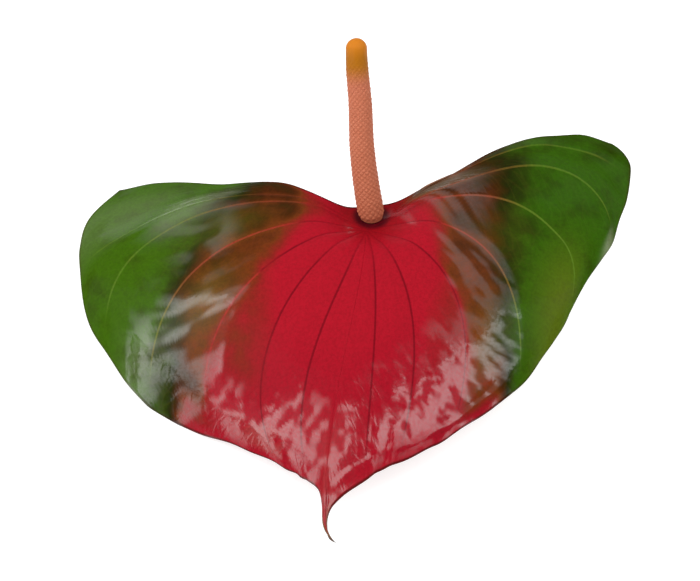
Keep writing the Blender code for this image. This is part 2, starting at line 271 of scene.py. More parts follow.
def set_finish(tree, shader, tissue, cloud, smoothest, roughest):
    """Links the colour of the tissue, and a roughness that drifts with the cloudy noise."""
    change = dict(zip(RANGE, (0.3, 0.7, smoothest, roughest)))
    rough = add_node(tree, "MapRange", change, {"Value": cloud})
    tree.links.new(tissue, shader.inputs["Base Color"])
    tree.links.new(rough, shader.inputs["Roughness"])


# %% [markdown]
# ## The plan of the spathe
#
# An anthurium's main veins all start at the foot of the spadix and run to the
# edge in bows. So the blade is drawn as a fan: u counts the veins from the left
# side of the notch (0), past the tip (7), to its right side (15), and s goes
# from the centre (0) to the edge (1). A grid cut from a sheet could not follow
# the veins, and the puckers and colours of the real skin do follow them.

# %% Edge, notch and veins
FIRST_VEIN, TIP_VEIN, LAST_VEIN = 1, 7, 14
COLUMNS_PER_SECTOR = (6, 5, 4, 5, 4, 3, 4, 4, 3, 4, 4, 4, 5, 5, 6)

# Points of the edge: u, then x and y with the midrib drawn straight.
EDGE_POINTS = np.array((
    (0, -80.3, 25.4), (0.3, -89.8, 16.4), (0.65, -92.5, 5.8), (1, -91.7, -6.1),
    (1.5, -87.9, -20.6), (2, -80.1, -31.1), (2.5, -71, -41), (3, -61.6, -49.5),
    (3.5, -49.6, -57.6), (4, -36.4, -65.4), (4.5, -24, -73.1), (5, -14.1, -80.1),
    (5.5, -9, -83.9), (6, -5.4, -86.6), (6.3, -1.9, -89.9), (6.55, -0.7, -94),
    (6.8, -0.4, -99.5), (7, 0.4, -105.8), (7.2, 0.8, -100.1), (7.4, 1.7, -96.4),
    (7.65, 4.7, -93.5), (8, 12.3, -89.1), (8.5, 17.1, -85.8), (9, 21.9, -83.5),
    (9.5, 30.2, -77.9), (10, 36.8, -72), (10.5, 46.3, -61.9), (11, 55, -51.6),
    (11.5, 60.4, -41.7), (12, 65.4, -30.3), (12.5, 71.9, -12.4), (13, 79.3, 2.3),
    (13.35, 81.8, 11.1), (13.7, 84.6, 18.5), (14, 86, 26), (14.5, 85.5, 32.5),
    (15, 80.4, 36.9),
))

# The two edges beside the notch, from its bottom out to the lobes.
LEFT_NOTCH = np.array((
    (1.8, 11.3), (-6, 10.4), (-14.5, 12.9), (-25, 18.4),
    (-49.5, 20.3), (-67, 24.2), (-80.3, 25.4),
))
RIGHT_NOTCH = np.array((
    (1.8, 11.3), (9, 12.3), (20.3, 17), (41, 28.4),
    (60, 34.3), (72, 37.3), (80.3, 36.8),
))

# How each vein leaves its straight line: u, sideways bow at half length, then skew of the bow.
VEIN_BOWS = np.array((
    (1, -7, 16.5, -42, -25), (2, -13.6, 23.8, -55, -5), (3, -15, 16.6, -35, -5),
    (4, -18.9, 8.2, -29, -15), (5, -16.8, 2.1, -12, -12), (6, -6.4, 0.1, -14, -1),
    (6.5, -1, 0, -2, 0), (7, 0, 0, 0, 0), (7.5, 0.3, 0, 0, 0),
    (8, 2.1, 0.3, 3, 0), (9, 8.3, 2.2, 5, -4), (10, 12.7, 7.2, 6, -15),
    (11, 12, 15.4, 1, -27), (12, 16, 25.8, 36, -2), (13, 10, 22, 50, 23),
    (14, -3.3, 13, 19, 20),
))


# %% Plan of the blade
MIDRIB_DRIFT, HOOK_START, HOOK_LENGTH, HOOK_SIDEWAYS = 13.2, 98, 9, 4.2


def midrib_bend(y):
    """Sideways place of the midrib: it drifts to the left, then hooks to the right."""
    ahead = np.maximum(-y, 0)
    hook = np.maximum(ahead - HOOK_START, 0) / HOOK_LENGTH
    return HOOK_SIDEWAYS * hook**2 - MIDRIB_DRIFT * smooth_step(0, HOOK_START, ahead)


def edge_at(u):
    return curve_through(EDGE_POINTS[:, 0], EDGE_POINTS[:, 1:], u, corner=TIP_VEIN)


def vein_line(u, s):
    """s * end + 4 s (1 - s) * bow + s (1 - s) (2 s - 1) * skew, for the line numbered u."""
    bow = curve_through(VEIN_BOWS[:, 0], VEIN_BOWS[:, 1:], u)
    s = s[:, None]
    return s * edge_at(u) + 4 * s * (1 - s) * bow[:, :2] + s * (1 - s) * (2 * s - 1) * bow[:, 2:]


def notch_line(points, s):
    """A smooth curve through the points of one notch edge, by its length."""
    lengths = np.concatenate([[0], np.cumsum(np.linalg.norm(np.diff(points, axis=0), axis=1))])
    return curve_through(lengths / lengths[-1], points, s)


def plan_of(u, s):
    """Veins between 1 and 14; beyond them a blend of the last vein and the edge of the notch."""
    vein = np.clip(u, FIRST_VEIN, LAST_VEIN)
    left = np.clip(FIRST_VEIN - u, 0, 1)[:, None]
    right = np.clip(u - LAST_VEIN, 0, 1)[:, None]
    plan = (1 - left - right) * vein_line(vein, s)
    plan += left * notch_line(LEFT_NOTCH, s) + right * notch_line(RIGHT_NOTCH, s)
    blend_end = (1 - left - right) * edge_at(vein)
    blend_end = blend_end + left * LEFT_NOTCH[-1] + right * RIGHT_NOTCH[-1]
    plan += (s**3)[:, None] * (edge_at(u) - blend_end)
    plan[:, 0] += midrib_bend(plan[:, 1])
    return plan


# %% [markdown]
# ## The lie of the spathe
#
# Seen from the side the spathe is a low dome: flat where the spadix stands, with
# a front that falls to the tip, sides that droop, and lobes that lift behind.
# Each of these is one smooth term, so the sum has no kinks. A cloth simulation
# could droop a sheet, but it would not give this flower's own dome.

# %% Height of the dome
# In millimetres, each at the end of its term: the dish at 22 mm from the foot, the
# fall 100 mm ahead, the droop 85 mm to the side, and the lift 60 mm to the side.
DISH, FRONT_FALL, SIDE_DROOP, SHOULDER_DROOP = 3.5, 29, 13, 17
RIGHT_LIFT, LEFT_LIFT = 13, 3


def blade_height(x, y):
    """Dish round the foot, minus the fall of the front and the droop, plus the lifted lobes."""
    foot_distance = np.hypot(x - FOOT_X, y - FOOT_Y)
    ahead, behind = np.minimum(y, 0), np.maximum(y, 0)
    dish = DISH * smooth_step(PAD_RADIUS, 22, foot_distance)
    fall = FRONT_FALL * (ahead / 100) ** 2
    droop = SIDE_DROOP * (x / 85) ** 2 + SHOULDER_DROOP * (x * ahead / 3300) ** 2
    lift = RIGHT_LIFT * smooth_step(0, 40, behind) * smooth_step(5, 60, x)
    lift += LEFT_LIFT * smooth_step(0, 30, behind) * smooth_step(5, 60, -x)
    return FAN_HEIGHT + dish - fall - droop + lift


# %% [markdown]
# ## The grid, and distances on it
#
# The grid is fine enough for one point every millimetre. Two distances are
# measured on it by adding up its steps: across, from the midrib out to both
# sides, and along, from the centre to the edge. The finest forms of the skin are
# drawn on those, so that they bend with the veins.

# %% The grid
FINER = 7
ROWS = 102
starts = [n + np.arange(FINER * k) / (FINER * k) for n, k in enumerate(COLUMNS_PER_SECTOR)]
columns = np.append(np.concatenate(starts), float(len(COLUMNS_PER_SECTOR)))
rows = np.linspace(0, 1, ROWS + 1)
SHAPE = (len(columns), len(rows))
u, s = (a.ravel() for a in np.meshgrid(columns, rows, indexing="ij"))
plan = plan_of(u, s)
plan_grid = plan.reshape(*SHAPE, 2)


def added_up(steps, axis):
    """Running sum of the lengths of the steps along one direction of the grid, starting at 0."""
    lengths = np.linalg.norm(steps, axis=2)
    start = np.zeros_like(np.take(lengths, [0], axis=axis))
    return np.concatenate([start, np.cumsum(lengths, axis=axis)], axis=axis)


across = added_up(np.diff(plan_grid, axis=0), 0)
across -= across[np.argmin(abs(columns - TIP_VEIN))]
along = added_up(np.diff(plan_grid, axis=1), 1)
across, along = across.ravel(), along.ravel()
length = np.repeat(along.reshape(SHAPE)[:, -1], SHAPE[1])
print("grid", SHAPE, "longest vein", round(length.max(), 1), "mm")

# %% Distances to the veins and to the edge
FAR_AWAY = 99
sector = np.clip(np.floor(u), 0, len(COLUMNS_PER_SECTOR) - 1)
to_left = np.linalg.norm(plan - plan_of(sector, s), axis=1)
to_right = np.linalg.norm(plan - plan_of(sector + 1, s), axis=1)
apart = to_left + to_right
# The first and last lines are edges and not veins, so they don't count here.
left_vein = np.where(sector < FIRST_VEIN, FAR_AWAY, to_left)
right_vein = np.where(sector + 1 > LAST_VEIN, FAR_AWAY, to_right)
vein_gap = np.minimum(left_vein, right_vein)
edge_gap = length - along
edge_gap = np.where(u < FIRST_VEIN, np.minimum(edge_gap, to_left), edge_gap)
edge_gap = np.where(u > LAST_VEIN, np.minimum(edge_gap, to_right), edge_gap)
foot_gap = np.hypot(plan[:, 0] - FOOT_X, plan[:, 1] - FOOT_Y)
print("widest space between two veins:", round(apart.max(), 1), "mm")

# %% [markdown]
# ## Pillows, puckers and the rolled edge
#
# The skin between two veins swells up like a pillow, and smaller side veins cut
# each pillow into puckers. Side veins leave the midrib outwards and towards the
# edge, so the puckers are noise stretched along that slanted direction: narrow
# across it, long along it. They are what breaks the shine into streaks. Near the
# tip the net of veins is finer, and the puckers there are short and round. All of
# it is real height, as a bump in the material alone would be missing from the mesh.

# %% Streaks and quilting
SIDE_VEIN_SLANT = 0.9
side_vein = along - SIDE_VEIN_SLANT * abs(across)
# The right half reads the noise 40 mm further on, so that it doesn't mirror the left half.
out = abs(across) + 40 * (across > 0)
away = abs(u - TIP_VEIN)
# Furrows about 6 and 3 mm apart along the side veins.
streaks = 0.5 * soft_noise(side_vein / 3.1, out / 13, 3)
streaks += 0.5 * soft_noise(side_vein / 1.5 + 31.3, out / 9, 4)
# Near the tip a quilting of 5 and 2.5 mm, and beside the midrib one of 5 mm.
quilt = 0.55 * soft_noise(side_vein / 2.7 + 9.1, out / 4.2, 6)
quilt += 0.45 * soft_noise(side_vein / 1.3, out / 2 + 50.3, 7)
middle = soft_noise(plan[:, 0] / 2.6 + 60, plan[:, 1] / 2.6 + 90, 12)
near_tip = smooth_step(0.45, 0.75, s) * (1 - smooth_step(2.3, 3.2, away))
beside_midrib = 1 - smooth_step(0.4, 1.3, away)
furrows = streaks * (1 - near_tip) + quilt * near_tip
furrows = furrows * (1 - beside_midrib) + 0.8 * middle * beside_midrib

# %% Skin of the spathe
# Heights and depths in millimetres.
PILLOW, EDGE_WAVE, EDGE_ROLL = 0.45, 0.3, 1.2
VEIN_GROOVE, FURROW, DENT, CREASE = 0.12, 0.15, 0.30, 0.35


def blade_relief():
    """Pillows, as a squared sine between two veins, and the waves and roll of the edge.

    To these the finer skin is added: a groove at each vein, the furrows where they are deep,
    soft dents 11 mm wide, and one crease. The furrows fade at the veins and at the edge.
    """
    pillow = PILLOW * np.sin(np.pi * to_left / np.maximum(apart, 0.01)) ** 2
    pillow *= np.clip(apart / 16, 0, 1) * (1 - smooth_step(0.6, 0.95, s))
    pillow *= smooth_step(0.6, 1.6, away)
    wave = EDGE_WAVE * np.sin(3 * np.pi * u)
    wave *= smooth_step(0.75, 1, s) * smooth_step(0.5, 1.5, away)
    roll = EDGE_ROLL * smooth_step(0.86, 1, s)
    groove = VEIN_GROOVE * hump(vein_gap, 0, 0.6) * (1 - smooth_step(0.85, 0.97, s))
    depth = FURROW * smooth_step(0.2, 0.5, s) * (1 - 0.6 * smooth_step(4.3, 5.3, away))
    depth *= 0.25 + 0.75 * np.maximum(smooth_step(1.5, 3, away), smooth_step(0.5, 0.7, s))
    depth *= 1 - smooth_step(0.92, 1, s)
    depth *= 0.35 + 0.65 * smooth_step(0.3, 3, vein_gap)
    dents = DENT * soft_noise(plan[:, 0] / 11 + 7, plan[:, 1] / 11 + 3, 5)
    dents *= smooth_step(0.25, 0.7, s) * (1 - 0.6 * smooth_step(0.9, 1, s))
    # The crease runs just inside the lower right margin, which is folded down beyond it.
    crease = CREASE * hump(edge_gap, 5, 1.1) * band(u, 7.3, 7.8, 10.5, 10.9)
    return pillow + wave - roll - groove + depth * furrows + dents + crease


off_pad = smooth_step(PAD_RADIUS, 12, foot_gap) * smooth_step(0, 0.08, s)
height = blade_height(plan[:, 0], plan[:, 1]) + off_pad * blade_relief()
top = np.column_stack([plan, height]).reshape(*SHAPE, 3)
print("the skin rises from", round(height.min(), 1), "to", round(height.max(), 1), "mm")

# %% [markdown]
# ## Where the colours lie
#
# This kind of anthurium is red in the heart and green on the lobes, with a brown
# belt where both pigments meet. The belt follows the veins: beside the tip it
# is pushed out to the edge, and on the lobes it lies close to the foot. A table
# over the veins says from which share s of their length the skin is brown, and
# from which share it is green. A value over 1 means that it never is.

# %% Red, brown and green zones
# Vein u, shares where the red ends and green begins, and how far the change goes at most.
ZONES = np.array((
    (0, 0.21, 0.46, 1), (0.6, 0.14, 0.49, 1), (1, 0.11, 0.45, 1),
    (1.7, 0.11, 0.47, 1), (2.2, 0.11, 0.52, 1), (2.6, 0.12, 0.57, 0.98),
    (3, 0.17, 0.72, 0.86), (3.4, 0.21, 0.8, 0.76), (3.8, 0.25, 0.9, 0.64),
    (4.05, 0.3, 0.95, 0.48), (4.2, 0.34, 1.15, 0.36), (4.6, 0.38, 1.25, 0.3),
    (5, 0.45, 1.5, 0.12), (5.4, 1.1, 2, 0), (8.9, 1.1, 2, 0),
    (9.3, 0.4, 1.5, 0.1), (9.92, 0.34, 1.25, 0.24), (10.08, 0.27, 0.95, 0.58),
    (10.6, 0.22, 0.78, 0.84), (11, 0.2, 0.66, 0.95), (11.4, 0.17, 0.57, 1),
    (12, 0.13, 0.51, 1), (12.6, 0.12, 0.5, 1), (13.3, 0.11, 0.51, 1),
    (14, 0.1, 0.54, 0.97), (15, 0.05, 0.53, 0.88),
))
red_end, green_start, change = (np.interp(u, ZONES[:, 0], ZONES[:, n]) for n in (1, 2, 3))
belt = 0.5 * smooth_step(0, 0.16, s - red_end) + 0.5 * smooth_step(-0.20, 0.14, s - green_start)
belt *= change
# Towards the tip the skin between the veins beside the heart is red again.
belt *= 1 - smooth_step(0.66, 0.82, s) * band(u, 3.95, 4.15, 9.85, 10.15)
belt *= 1 - 0.6 * smooth_step(0.72, 0.92, s) * band(u, 9.9, 10.1, 10.5, 11)
# Red pigment runs farther out beside each vein, so they cross the brown in reddish bands.
in_brown = smooth_step(0.12, 0.32, belt) * (1 - smooth_step(0.55, 0.75, belt))
belt -= 0.09 * hump(vein_gap, 0, 1.6) * in_brown
belt *= 1 - 0.7 * smooth_step(0.84, 0.93, s) * band(u, 3.3, 3.7, 4.1, 4.3)
# Both edges of the notch have a reddish rim where the skin beside them is brown.
beside_notch = smooth_step(-1, -0.8, -u) + smooth_step(14, 14.2, u)
belt *= 1 - 0.5 * hump(edge_gap, 0, 1.3) * beside_notch * (1 - smooth_step(0.35, 0.5, s))
# The vein that bounds the heart on the right is a dark red line of its own.
belt *= 1 - 0.75 * hump(u, 10, 0.06)
# The red comes back as a thin margin along the lower edges.
belt *= 1 - smooth_step(0.94, 0.985, s) * band(u, 3.2, 3.8, 10.4, 10.9)
print("green points:", round((belt > 0.8).mean(), 2))

# %% [markdown]
# ## Where the wax shines
#
# The wax lies thick and smooth in a horseshoe round the flat middle, and thin on
# the lobes, which look dull. A second table says from which share s the skin
# shines, up to which share, and how strongly. Inside the horseshoe the furrows
# break the shine into streaks. On the left it is brightest along one slanting
# line, and has a second, smaller patch.

# %% Shine of the wax
# Vein u, shares where the shine starts and ends, and its strength.
WAX = np.array((
    (0, 0.44, 1.2, 0.2), (0.5, 0.44, 1.2, 0.35), (0.75, 0.42, 0.9, 0.8),
    (1.2, 0.43, 0.66, 1), (1.9, 0.42, 0.66, 1), (2.2, 0.39, 0.64, 0.9),
    (2.35, 0.42, 0.68, 0.8), (2.45, 0.42, 0.9, 0.9), (2.6, 0.42, 1.2, 0.95),
    (3, 0.5, 1.2, 1), (3.5, 0.46, 1.2, 1), (4, 0.43, 1, 1),
    (4.3, 0.8, 0.96, 1), (5, 0.78, 0.96, 1), (5.8, 0.71, 1, 0.95),
    (6.5, 0.76, 1.2, 0.75), (7, 0.82, 1.2, 0.9), (7.5, 0.72, 1.05, 0.85),
    (8, 0.64, 0.97, 1), (9, 0.6, 0.95, 0.95), (9.8, 0.5, 0.97, 0.9),
    (10.4, 0.28, 1.1, 0.95), (10.9, 0.14, 1.2, 0.8), (11.2, 0.13, 0.42, 0.9),
    (12.5, 0.11, 0.38, 1), (13.5, 0.12, 0.4, 1), (15, 0.15, 0.45, 0.9),
))
shine_from, shine_to, strength = (np.interp(u, WAX[:, 0], WAX[:, n]) for n in (1, 2, 3))
ragged = 0.05 * furrows
gloss = smooth_step(-0.05, 0.05, s + ragged - shine_from)
gloss *= smooth_step(-0.06, 0.06, shine_to - s - ragged)
# The streaks lie apart where the shine begins and run closer together beyond.
close = smooth_step(0.03, 0.30, s - shine_from) * smooth_step(2.4, 2.8, u)
close += smooth_step(0.82, 0.9, s) * band(u, 4.1, 4.3, 5.9, 6.4)
streaky = 0.08 + 0.92 * smooth_step(-0.16, 0.20, furrows + 0.14 * close - 0.02)
# The outer left lobe is smooth, and shows them only weakly.
smooth_lobe = 1 - smooth_step(1.9, 2.5, u)
gloss = 0.985 * gloss * strength * (streaky + 0.75 * smooth_lobe * (1 - streaky))

# %% The slanting line, the second patch and two small places
# The line runs from vein 4 at mid length to the edge at vein 2.5.
slant_line = 0.46 + 0.36 * (4.05 - u)
on_line = hump(s, slant_line, 0.12)
below_line = 0.04 + 0.31 * smooth_step(2.9, 3.3, u)
along_line = np.where(
    s < slant_line, below_line + (1 - below_line) * on_line, 0.62 + 0.38 * on_line
)
# The second patch lies between veins 2 and 3 at half their length.
second_patch = 0.85 * band(s, 0.38, 0.46, 0.58, 0.70) * smooth_step(-3.1, -2.95, -u)
along_line = np.maximum(along_line, second_patch)
left_side = band(u, 2.05, 2.3, 4.1, 4.3)
gloss = 0.015 + gloss * (1 - left_side * (1 - along_line))
# The fold beside the foot and the curl of the right lobe's edge shine on their own.
foot_fold = hump(u, 3.6, 0.7) * hump(s, 0.065, 0.012)
curl = hump(u, 12.9, 0.16) * smooth_step(0.92, 0.97, s)
gloss = np.maximum(gloss, np.maximum(foot_fold, curl))
print("shining points:", round((gloss > 0.5).mean(), 2))

# %% [markdown]
# ## Veins, yellow spots and painted sheen
#
# The main veins are not equally clear: the midrib is sunk in the flat middle and
# hardly seen, and the outer ones fade where they cross the dark belt. The skin is
# yellowish in a few places. Where a broad soft sheen lies on the wax, a painted
# sheen lightens the colour with a pale grey-green, and the curl of the right lobe's
# edge gets a painted highlight. Both are soft spots, placed by vein and by share.

# %% How clearly each vein shows
vein_depth = (1 - 0.75 * hump(away, 0, 0.45)) * (1 - smooth_step(0.85, 0.96, s))
outer = np.interp(u, (1, 2, 2.7, 12.4, 13, 14), (0.5, 0.8, 1, 1, 0.8, 0.6))
vein_depth *= outer * (1 - (1 - outer) * (1 - smooth_step(0.3, 0.6, s)))
# Close to the spadix all of them sink into the red.
vein_depth *= 0.4 + 0.6 * smooth_step(0.08, 0.3, s)

# %% Yellow spots and painted sheen
# The skin is yellowish towards the edge on both sides of the widest right vein.
yellowing = 0.7 * hump(u, 11.7, 0.45) * smooth_step(0.6, 0.9, s)
# The brown beside the heart is too, halfway out on both sides: vein, share, strength.
YELLOW_SPOTS = ((3.5, 0.62, 0.24), (2.5, 0.46, 0.25), (10.5, 0.74, 0.22), (11.4, 0.52, 0.14))
for vein, share, strongest in YELLOW_SPOTS:
    spot = strongest * hump(u, vein, 0.42) * hump(s, share, 0.13)
    yellowing = np.maximum(yellowing, spot)
# The last 2 mm of the drip tip are olive.
drip_end = 0.85 * smooth_step(0.965, 0.985, s) * hump(away, 0, 0.3)
yellowing = np.maximum(yellowing, drip_end)
# Painted sheen, a pale grey-green mixed into the colour, lies on the smooth left lobe,
# beside the midrib, and thinly on the right lobe.
painted_sheen = 0.12 * band(s, 0.39, 0.47, 0.58, 0.68) * band(u, 0.4, 0.8, 1.8, 2.3)
painted_sheen += 0.08 * band(u, 0, 0.4, 0.6, 1.3) * smooth_step(0.58, 0.75, s)
painted_sheen += 0.04 * hump(away, 0, 0.6) * smooth_step(0.65, 0.85, s)
painted_sheen += 0.09 * smooth_step(12.4, 13.2, u) * band(s, 0.16, 0.24, 0.34, 0.46)
painted_sheen += 0.04 * smooth_step(13.9, 14.3, u) * band(s, 0.4, 0.5, 0.6, 0.8)
# More painted sheen along the slanting line where the streaks reach the edge and on the
# lower rim, and a painted highlight on the curl of the right lobe's edge.
painted_sheen += 0.11 * on_line * left_side * smooth_step(0.44, 0.75, s) * (0.3 + 0.7 * streaky)
painted_sheen += 0.07 * hump(u, 4.9, 0.6) * band(s, 0.8, 0.87, 0.94, 0.975) * streaky
painted_sheen += 0.05 * left_side * second_patch * streaky + 0.3 * curl
print("strongest bloom:", round(painted_sheen.max(), 2))

# %% [markdown]
# ## Two faces and a rounded rim
#
# The blade is 0.9 mm of leathery tissue, thinner at its edge and thicker under
# the spadix. The underside is the top moved inwards by that thickness, with ribs
# where the veins stand out below. One extra line of points round the edge, moved
# outwards a little, makes the rim round instead of square.


# %% Directions
def grid_normals(points):
    """Upward unit normals, from the cross product of the grid's two central differences."""
    normal = np.cross(np.gradient(points, axis=1), np.gradient(points, axis=0))
    size = np.linalg.norm(normal, axis=2, keepdims=True)
    normal = np.where(size > 1e-6, normal / np.maximum(size, 1e-6), (0, 0, 1))
    return np.where(normal[..., 2:] < 0, -normal, normal)


def unit(vectors):
    return vectors / np.maximum(np.linalg.norm(vectors, axis=-1, keepdims=True), 1e-9)


# %% Underside
EDGE_THICKNESS, MIDDLE_THICKNESS, PAD_EXTRA, RIB_HEIGHT = 0.65, 0.95, 1.65, 0.5
UPWARDS = np.array((0, 0, 1))
pad = (1 - smooth_step(PAD_RADIUS, 14, foot_gap)).reshape(SHAPE)
rib = RIB_HEIGHT * np.cos(np.pi * u) ** 8
rib *= (1 - smooth_step(0.5, 0.95, s)) * smooth_step(0.05, 0.2, s)
# The two edges of the notch have no rib.
rib = np.where((u < 0.6) | (u > 14.4), 0, rib).reshape(SHAPE)
thinner = (EDGE_THICKNESS - MIDDLE_THICKNESS) * smooth_step(0.6, 1, s).reshape(SHAPE)
thickness = MIDDLE_THICKNESS + thinner + rib + PAD_EXTRA * pad
normal = unit(grid_normals(top) * (1 - pad)[..., None] + UPWARDS * pad[..., None])
normal[:, 0] = UPWARDS
bottom = top - normal * thickness[..., None]
# Nothing sinks into the surface, and the top stays above what rests on it.
bottom[..., 2] = np.maximum(bottom[..., 2], 0)
top[..., 2] = np.maximum(top[..., 2], bottom[..., 2] + 0.9 * EDGE_THICKNESS)
# From the centre to the bottom of the notch the first and the last sector share one line.
half = FINER * COLUMNS_PER_SECTOR[0] + 1
for face in (top, bottom):
    face[-half:, 0] = face[half - 1 :: -1, 0]
print("thickness", round(thickness.min(), 2), "to", round(thickness.max(), 2), "mm")

# %% Rim
RIM_BULGE = 0.22
count = SHAPE[0] * SHAPE[1]
index = np.arange(count).reshape(SHAPE)
loop = np.concatenate([index[0, :], index[1:, -1], index[-1, -2::-1]])
inner = np.concatenate([index[1, :], index[1:, -2], index[-2, -2::-1]])
top_points, bottom_points = top.reshape(-1, 3), bottom.reshape(-1, 3)
outward = unit(top_points[loop] - top_points[inner])
rim_points = 0.5 * (top_points[loop] + bottom_points[loop]) + RIM_BULGE * outward
rim_points[0] = rim_points[-1] = 0.5 * (top_points[loop[0]] + bottom_points[loop[0]])
rim_points[:, 2] = np.maximum(rim_points[:, 2], 0)

# %% Faces of the spathe
a, b = index[:-1, :-1].ravel(), index[1:, :-1].ravel()
c, d = index[1:, 1:].ravel(), index[:-1, 1:].ravel()
upper = squares(a, b, c, d)
lower = upper[:, ::-1] + count
rim_index = 2 * count + np.arange(len(loop))


def strip(first, second):
    """Two triangles between each two neighbours on two lines of points."""
    return squares(first[:-1], first[1:], second[1:], second[:-1])


rim_faces = np.concatenate([strip(loop, rim_index), strip(rim_index, loop + count)])
spathe_faces = np.concatenate([upper, lower, rim_faces])
spathe_points = np.concatenate([top_points, bottom_points, rim_points])
spathe_sides = np.repeat((0, 1, 0), (len(upper), len(lower), len(rim_faces)))

# %% Fields for the materials
top_fields = {
    "tissue": np.column_stack([out, side_vein, along]),
    "vein_gap": vein_gap, "edge_gap": edge_gap, "foot_gap": foot_gap, "share": s,
    "belt": belt, "gloss": gloss, "vein_depth": vein_depth,
    # One of these values is painted sheen, mixed into the colour next to the yellowing.
    "yellowing": yellowing, "painted_sheen": painted_sheen,
    "right_side": smooth_step(-10.0, 10.0, plan[:, 0]),
}
spathe_fields = {k: np.concatenate([v, v, v[loop]]) for k, v in top_fields.items()}

# %% [markdown]
# ## Finish of the spathe
#
# Leaf tissue under wax: coloured cells below a clear skin. The cells scatter the
# light, and the wax mirrors it, so the finish is a rather rough coloured base
# under a smooth clear coat, as strong as the table of the wax says. Wax has an
# index of refraction near 1.45. The coat has 1.6, which makes its streaks as
# bright as those in the picture.

# %% Tones of the spathe
# How the tissue's colour goes over from red to green, and the same for the veins.
BELT_TONES = (
    (0.0, "#9c1020"), (0.15, "#801c18"), (0.33, "#622c0c"), (0.50, "#3f1c03"),
    (0.70, "#1d2201"), (0.84, "#293a02"), (1.0, "#345603"),
)
VEIN_TONES = (
    (0.0, "#660412"), (0.10, "#780c16"), (0.25, "#962a20"), (0.5, "#764024"),
    (0.75, "#6a5820"), (1.0, "#52701f"),
)


# %% Waxed top of the spathe
def spathe_top_material():
    material, tree, shader, read = new_material(
        "waxed_spathe_tissue",
        {"IOR": 1.45, "Specular IOR Level": 0.03, "Coat Roughness": 0.15, "Coat IOR": 1.6},
        [n for n in top_fields if n != "tissue"], grain_mm=8.0,
    )
    belt, cloud = read["belt"], read["cloud"]
    # Fine grain of the cells and stomata, drawn 0.9 mm wide, coarser than real to show.
    grain = {"Scale": 1100.0, "Detail": 2.0}
    grain = add_node(tree, "TexNoise", grain, {"Vector": read["place"]}, VALUE)
    # The net of the finest veins: meshes about 3 by 5 mm that follow the side veins.
    net = add_node(tree, "Attribute", {"attribute_name": "tissue"}, output="Vector")
    net = add_node(tree, "Mapping", {"Scale": (0.2, 0.33, 0.0)}, {"Vector": net})
    edges = {"feature": "DISTANCE_TO_EDGE", "Scale": 1.0}
    net = add_node(tree, "TexVoronoi", edges, {"Vector": net}, "Distance")
    # Smooth changes: skin that isn't plain red, green skin, red skin, how strong the painted
    # shade at the rim is, wax that the grain breaks up, so that it never shines as one
    # patch, and the net.
    not_red, green, red, rim_shade_on_red, broken, swell = (
        add_node(tree, "MapRange", {**SMOOTH, **dict(zip(RANGE, change))}, {"Value": source})
        for source, *change in (
            (belt, 0.0, 0.2, 0.0, 1.0), (belt, 0.55, 0.95, 0.0, 1.0), (belt, 0.0, 0.3, 1.0, 0.0),
            (belt, 0.4, 0.9, 1.0, 0.4), (grain, 0.36, 0.6, 0.75, 1.0), (net, 0.0, 0.25, 0.0, 0.7),
        )
    )
    # Mottling 8 mm wide moves the belt, as pigment spreads unevenly, but not in plain red.
    shift = dict(zip(RANGE, (0.3, 0.7, -0.09, 0.09)))
    shift = add_node(tree, "MapRange", shift, {"Value": cloud})
    shift = add_node(tree, "Math", TIMES, {0: shift, 1: not_red})
    tone_at = add_node(tree, "Math", {"operation": "ADD"}, {0: belt, 1: shift})
    vein_tone = tones_along(tree, tone_at, VEIN_TONES)

    # The right lobe is a bluer and darker green.
    green = add_node(tree, "Math", TIMES, {0: green, 1: read["right_side"]})
    darker = {**MIX, "blend_type": "MULTIPLY", B: (0.72, 0.86, 0.85, 1.0)}
    links = {"Factor": green, A: tones_along(tree, tone_at, BELT_TONES)}
    tissue = add_node(tree, "Mix", darker, links, MIXED)
    # Yellowish skin, then painted sheen: a pale grey-green mixed in where the wax shines broadly.
    for field, tone in (("yellowing", "#566410"), ("painted_sheen", "#a4a884")):
        links = {"Factor": read[field], A: tissue}
        tissue = add_node(tree, "Mix", {**MIX, B: colour(tone)}, links, MIXED)
    tissue = lay_over(tree, tissue, (
        # Deeper crimson towards the tip and the spadix, and a near-black maroon close round the
        # spadix's foot, which is painted shade in the hollow there.
        (read["share"], (0.4, 0.75, 0.0, 0.35), "#7c0418", red),
        (read["foot_gap"], (6.0, 18.0, 0.75, 0.0), "#800a10"),
        (read["foot_gap"], (4.6, 7.0, 0.85, 0.0), "#30060e"),
        # Main veins 0.6 mm wide: dark red, then tan, then yellow-green.
        (read["vein_gap"], (0.12, 0.55, 0.8, 0.0), vein_tone, read["vein_depth"]),
        # The net only just shows, as does the grain.
        (net, (0.0, 0.12, 0.055, 0.0), vein_tone),
        (grain, (0.35, 0.7, 0.0, 0.16), "#200804"),
        # A thin dark line where the skin turns over the rim: painted shade, strongest on red skin.
        (read["edge_gap"], (0.2, 1.0, 0.75, 0.0), "#38100a", rim_shade_on_red),
    ))
    set_finish(tree, shader, tissue, cloud, 0.4, 0.5)
    wax = add_node(tree, "Math", TIMES, {0: read["gloss"], 1: broken})
    tree.links.new(wax, shader.inputs["Coat Weight"])
    # Meshes of the net swell a little, and the grain roughens the wax.
    half_grain = {"operation": "MULTIPLY_ADD", 1: 0.5}
    low = add_node(tree, "Math", half_grain, {0: grain, 2: swell})
    bump = {"Strength": 1.0, "Distance": 0.03 * MM}
    bump = add_node(tree, "Bump", bump, {"Height": low})
    for socket in ("Normal", "Coat Normal"):
        tree.links.new(bump, shader.inputs[socket])
    return material


# %% [markdown]
# ## Underside
#
# The underside has hardly any wax, so it is matt, and paler than the top, as its
# cells lie looser. It has the same zones, and its raised veins are paler still.

# %% Matt underside of the spathe
UNDER_TONES = ((0.0, "#8c3038"), (0.4, "#7c4a30"), (0.7, "#66602c"), (1.0, "#5c8038"))


